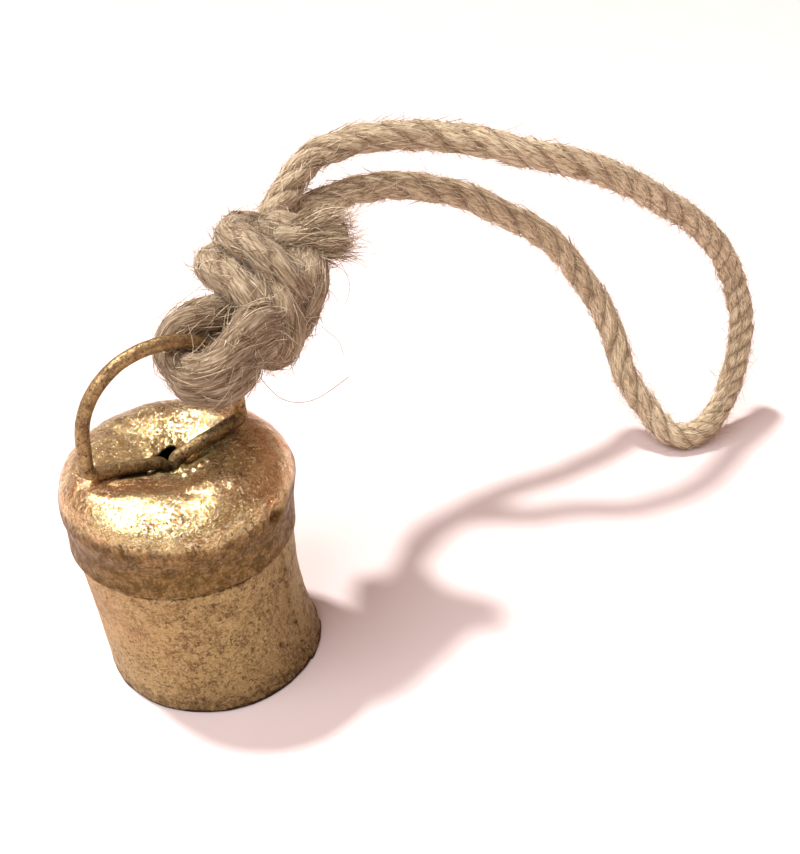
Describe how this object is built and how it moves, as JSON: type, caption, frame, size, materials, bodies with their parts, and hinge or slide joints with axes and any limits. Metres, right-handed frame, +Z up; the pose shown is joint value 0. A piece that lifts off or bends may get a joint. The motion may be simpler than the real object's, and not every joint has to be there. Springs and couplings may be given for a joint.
{
  "type": "bell",
  "caption": "Small hammered sheet-metal bell with a domed cap, a bent wire bail, a hung clapper and a knotted jute rope loop.",
  "frame": {"origin": "on the surface that the mouth rests on, under the middle of the bell", "axes": "+Z up from the mouth to the bail, +Y away from the front, +X to the right; the rope loop lies towards +X and +Y"},
  "size_m": [0.1604, 0.12, 0.0912],
  "materials": {
    "body_brass": "satin",
    "cap_brass": "satin",
    "bail_wire": "satin",
    "dark_iron": "rough",
    "jute": "matte"
  },
  "bodies": {
    "bell": {"body_shell": "body_brass", "cap": "cap_brass", "seam_braze": "body_brass", "bail": "bail_wire", "bail_braze": "cap_brass"},
    "link": {"hanger_link": "dark_iron"},
    "clapper": {"clapper_rod": "dark_iron", "clapper_bob": "dark_iron", "bob_washer": "dark_iron"},
    "rope": {"rope_turn": "jute", "rope_knot": "jute", "rope_tail": "jute", "rope_loop": "jute"}
  },
  "joints": [
    {"name": "clapper_swing", "type": "hinge", "parent": "bell", "child": "link", "pos_m": [-0.00142, -0.0012, 0.0334], "axis": [0.8028, 0.5962, 0], "range_deg": [-34, 34]},
    {"name": "clapper_rock", "type": "hinge", "parent": "link", "child": "clapper", "pos_m": [-0.00142, -0.0012, 0.0294], "axis": [0.5962, -0.8028, 0], "range_deg": [-18, 18]},
    {"name": "rope_slide", "type": "hinge", "parent": "bell", "child": "rope", "pos_m": [-0.0025, -0.002, 0.0576], "axis": [0.5962, -0.8028, 0], "range_deg": [0, 50]}
  ]
}
